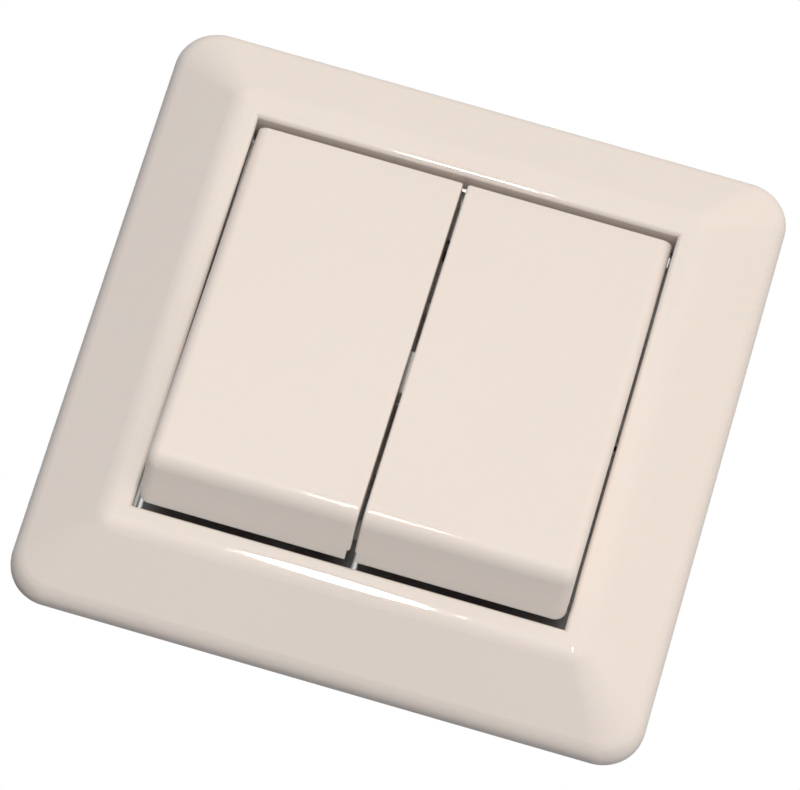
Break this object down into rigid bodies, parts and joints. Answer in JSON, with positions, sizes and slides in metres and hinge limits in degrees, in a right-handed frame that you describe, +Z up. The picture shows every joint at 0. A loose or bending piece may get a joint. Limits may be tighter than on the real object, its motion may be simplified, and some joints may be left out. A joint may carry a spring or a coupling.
{
  "type": "two-gang rocker light switch",
  "caption": "Square flush-mounted light switch with a sloped cover frame and side-by-side rockers over a steel plate, a switching insert and spreader claws.",
  "frame": {"origin": "centre of the box screw pattern in the wall plane, at the back face of the steel support ring", "axes": "+Z up, +X to the viewer's right, -Y out of the wall towards the viewer, +Y into the wall box"},
  "size_m": [0.081, 0.0382, 0.081],
  "materials": {
    "frame_abs": "cream white glossy moulded thermoplastic",
    "carrier_plastic": "light grey moulded thermoplastic",
    "base_plastic": "dark grey thermoset moulding",
    "toggle_plastic": "orange-brown moulded nylon",
    "plunger_nylon": "natural white nylon",
    "zinc_steel": "zinc-plated sheet steel",
    "screw_steel": "zinc-plated turned steel",
    "spring_steel": "bright drawn spring wire",
    "brass": "stamped brass",
    "contact_silver": "silver alloy rivet heads"
  },
  "bodies": {
    "insert": {"cover_frame": "frame_abs", "support_ring": "zinc_steel", "frame_clips": "carrier_plastic", "carrier": "carrier_plastic", "housing_base": "base_plastic", "left_fixed_tip": "contact_silver", "right_fixed_tip": "contact_silver", "left_fixed_contact": "brass", "right_fixed_contact": "brass", "common_bar": "brass", "feed_terminal": "brass", "left_terminal": "brass", "right_terminal": "brass", "terminal_screws": "screw_steel", "claw_screws": "screw_steel", "housing_screws": "screw_steel"},
    "left_rocker": {"left_rocker": "frame_abs", "left_toggle": "toggle_plastic", "left_spring": "spring_steel"},
    "left_plunger": {"left_plunger": "plunger_nylon"},
    "left_see_saw": {"left_see_saw": "brass", "left_moving_tip": "contact_silver"},
    "left_claw": {"left_claw": "zinc_steel"},
    "right_rocker": {"right_rocker": "frame_abs", "right_toggle": "toggle_plastic", "right_spring": "spring_steel"},
    "right_plunger": {"right_plunger": "plunger_nylon"},
    "right_see_saw": {"right_see_saw": "brass", "right_moving_tip": "contact_silver"},
    "right_claw": {"right_claw": "zinc_steel"}
  },
  "joints": [
    {"name": "left_rocker_hinge", "type": "hinge", "parent": "insert", "child": "left_rocker", "pos_m": [-0.01372, -0.0003, 0], "axis": [1, 0, 0], "range_deg": [0, 16]},
    {"name": "left_plunger_slide", "type": "slide", "parent": "left_rocker", "child": "left_plunger", "axis": [0, -0.9903, 0.1392], "range_m": [0, 0.0005], "stiffness_N_per_m": 400, "springref_m": -0.002, "deforming": ["left_spring"]},
    {"name": "left_see_saw_rock", "type": "hinge", "parent": "insert", "child": "left_see_saw", "pos_m": [-0.01372, 0.01161, 0], "axis": [1, 0, 0], "range_deg": [-16, 0]},
    {"name": "left_claw_swing", "type": "hinge", "parent": "insert", "child": "left_claw", "pos_m": [-0.0272, 0.0067, 0], "axis": [0, 0, 1], "range_deg": [0, 20]},
    {"name": "right_rocker_hinge", "type": "hinge", "parent": "insert", "child": "right_rocker", "pos_m": [0.01372, -0.0003, 0], "axis": [1, 0, 0], "range_deg": [0, 16]},
    {"name": "right_plunger_slide", "type": "slide", "parent": "right_rocker", "child": "right_plunger", "axis": [0, -0.9903, 0.1392], "range_m": [0, 0.0005], "stiffness_N_per_m": 400, "springref_m": -0.002, "deforming": ["right_spring"]},
    {"name": "right_see_saw_rock", "type": "hinge", "parent": "insert", "child": "right_see_saw", "pos_m": [0.01372, 0.01161, 0], "axis": [1, 0, 0], "range_deg": [-16, 0]},
    {"name": "right_claw_swing", "type": "hinge", "parent": "insert", "child": "right_claw", "pos_m": [0.0272, 0.0067, 0], "axis": [0, 0, -1], "range_deg": [0, 20]}
  ],
  "couplings": [
    {"joint": "left_see_saw_rock", "follows": "left_rocker_hinge", "ratio": -1},
    {"joint": "right_see_saw_rock", "follows": "right_rocker_hinge", "ratio": -1}
  ]
}
